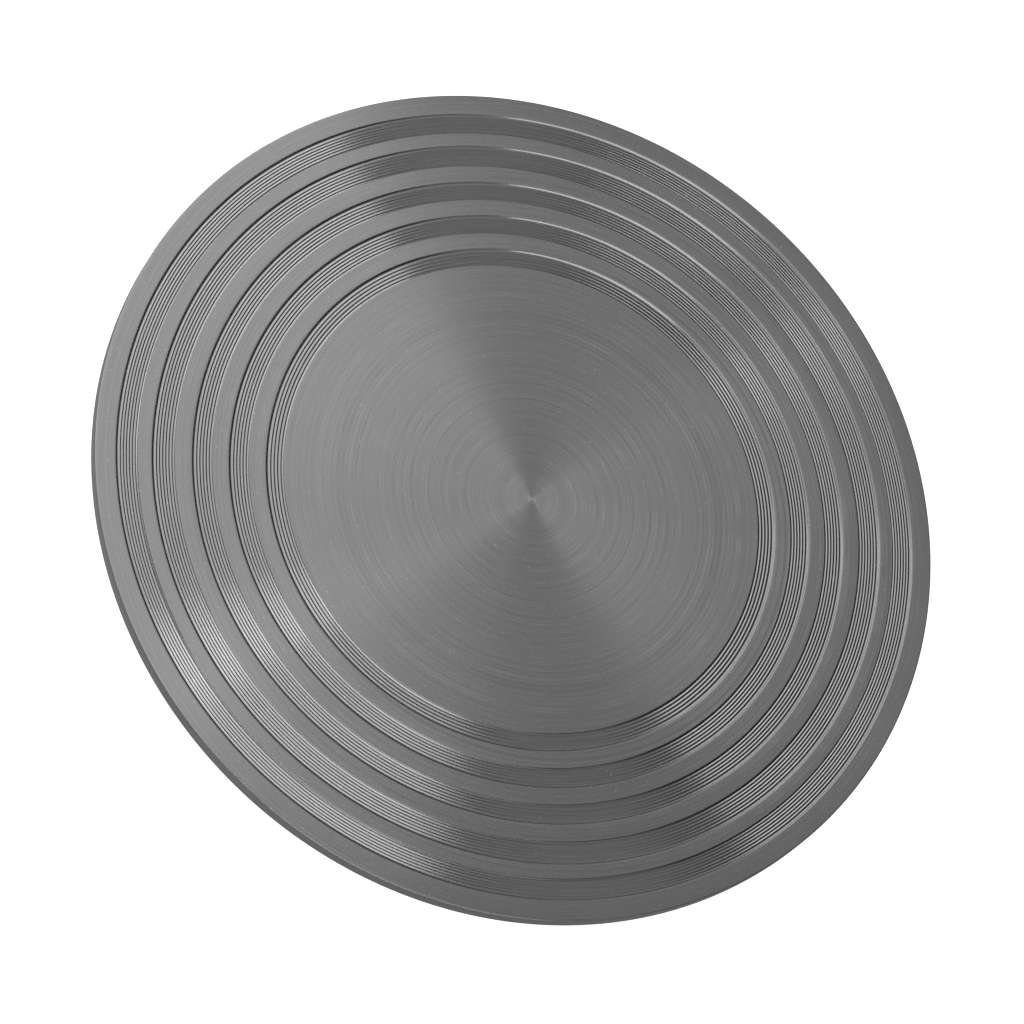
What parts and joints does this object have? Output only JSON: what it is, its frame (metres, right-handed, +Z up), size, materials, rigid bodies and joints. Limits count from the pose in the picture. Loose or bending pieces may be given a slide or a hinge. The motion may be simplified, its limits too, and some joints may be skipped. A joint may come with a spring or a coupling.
{
  "type": "banding wheel",
  "caption": "Table-top banding wheel: a turned aluminium head with sunk concentric bands spins on a ball-bearing spindle in a flared cast base on rubber feet.",
  "frame": {"origin": "on the spindle's axis, at the surface that the rubber feet stand on", "axes": "+Z up along the spindle to the work face; +X through the first cover screw, with the feet on the diagonals"},
  "size_m": [0.28, 0.28, 0.092],
  "materials": {
    "head_aluminium": "satin dark grey, face-turned, with fine concentric tool marks",
    "hub_aluminium": "as machined, satin",
    "base_enamel": "dark grey hammered enamel on cast iron",
    "cover_steel": "zinc-plated sheet steel",
    "ground_steel": "ground, bright",
    "spring_steel": "phosphated spring steel, oiled",
    "zinc_steel": "bright zinc plate",
    "foot_rubber": "matt black moulded rubber",
    "ball_steel": "polished bearing steel",
    "cage_nylon": "black glass-filled nylon",
    "shield_steel": "pressed steel, satin",
    "bearing_steel": "ground bearing steel"
  },
  "bodies": {
    "base": {"base_casting": "base_enamel", "housing_clip": "spring_steel", "bottom_cover": "cover_steel", "upper_bearing_outer_ring": "bearing_steel", "lower_bearing_outer_ring": "bearing_steel", "upper_bearing_top_shield": "shield_steel", "upper_bearing_bottom_shield": "shield_steel", "lower_bearing_top_shield": "shield_steel", "lower_bearing_bottom_shield": "shield_steel", "cover_screw_1": "zinc_steel", "cover_screw_2": "zinc_steel", "cover_screw_3": "zinc_steel", "rubber_foot_1": "foot_rubber", "rubber_foot_2": "foot_rubber", "rubber_foot_3": "foot_rubber", "rubber_foot_4": "foot_rubber", "foot_screw_1": "zinc_steel", "foot_screw_2": "zinc_steel", "foot_screw_3": "zinc_steel", "foot_screw_4": "zinc_steel"},
    "wheel": {"wheel_head": "head_aluminium", "hub_flange": "hub_aluminium", "hub_bolt": "zinc_steel", "hub_washer": "zinc_steel", "spindle": "ground_steel", "spindle_key": "ground_steel", "spindle_clip": "spring_steel", "bearing_spacer": "ground_steel", "upper_bearing_inner_ring": "bearing_steel", "lower_bearing_inner_ring": "bearing_steel", "head_screw_1": "zinc_steel", "head_screw_2": "zinc_steel", "head_screw_3": "zinc_steel", "head_screw_4": "zinc_steel", "head_screw_5": "zinc_steel", "head_screw_6": "zinc_steel"},
    "upper_cage": {"upper_bearing_cage": "cage_nylon", "upper_bearing_ball_1": "ball_steel", "upper_bearing_ball_2": "ball_steel", "upper_bearing_ball_3": "ball_steel", "upper_bearing_ball_4": "ball_steel", "upper_bearing_ball_5": "ball_steel", "upper_bearing_ball_6": "ball_steel", "upper_bearing_ball_7": "ball_steel", "upper_bearing_ball_8": "ball_steel"},
    "lower_cage": {"lower_bearing_cage": "cage_nylon", "lower_bearing_ball_1": "ball_steel", "lower_bearing_ball_2": "ball_steel", "lower_bearing_ball_3": "ball_steel", "lower_bearing_ball_4": "ball_steel", "lower_bearing_ball_5": "ball_steel", "lower_bearing_ball_6": "ball_steel", "lower_bearing_ball_7": "ball_steel", "lower_bearing_ball_8": "ball_steel"}
  },
  "joints": [
    {"name": "wheel_spin", "type": "hinge", "parent": "base", "child": "wheel", "pos_m": [0, 0, 0.056], "axis": [0, 0, 1], "continuous": true},
    {"name": "upper_cage_spin", "type": "hinge", "parent": "base", "child": "upper_cage", "pos_m": [0, 0, 0.056], "axis": [0, 0, 1], "continuous": true},
    {"name": "lower_cage_spin", "type": "hinge", "parent": "base", "child": "lower_cage", "pos_m": [0, 0, 0.022], "axis": [0, 0, 1], "continuous": true}
  ],
  "couplings": [
    {"joint": "upper_cage_spin", "follows": "wheel_spin", "ratio": 0.38158},
    {"joint": "lower_cage_spin", "follows": "wheel_spin", "ratio": 0.38158}
  ]
}
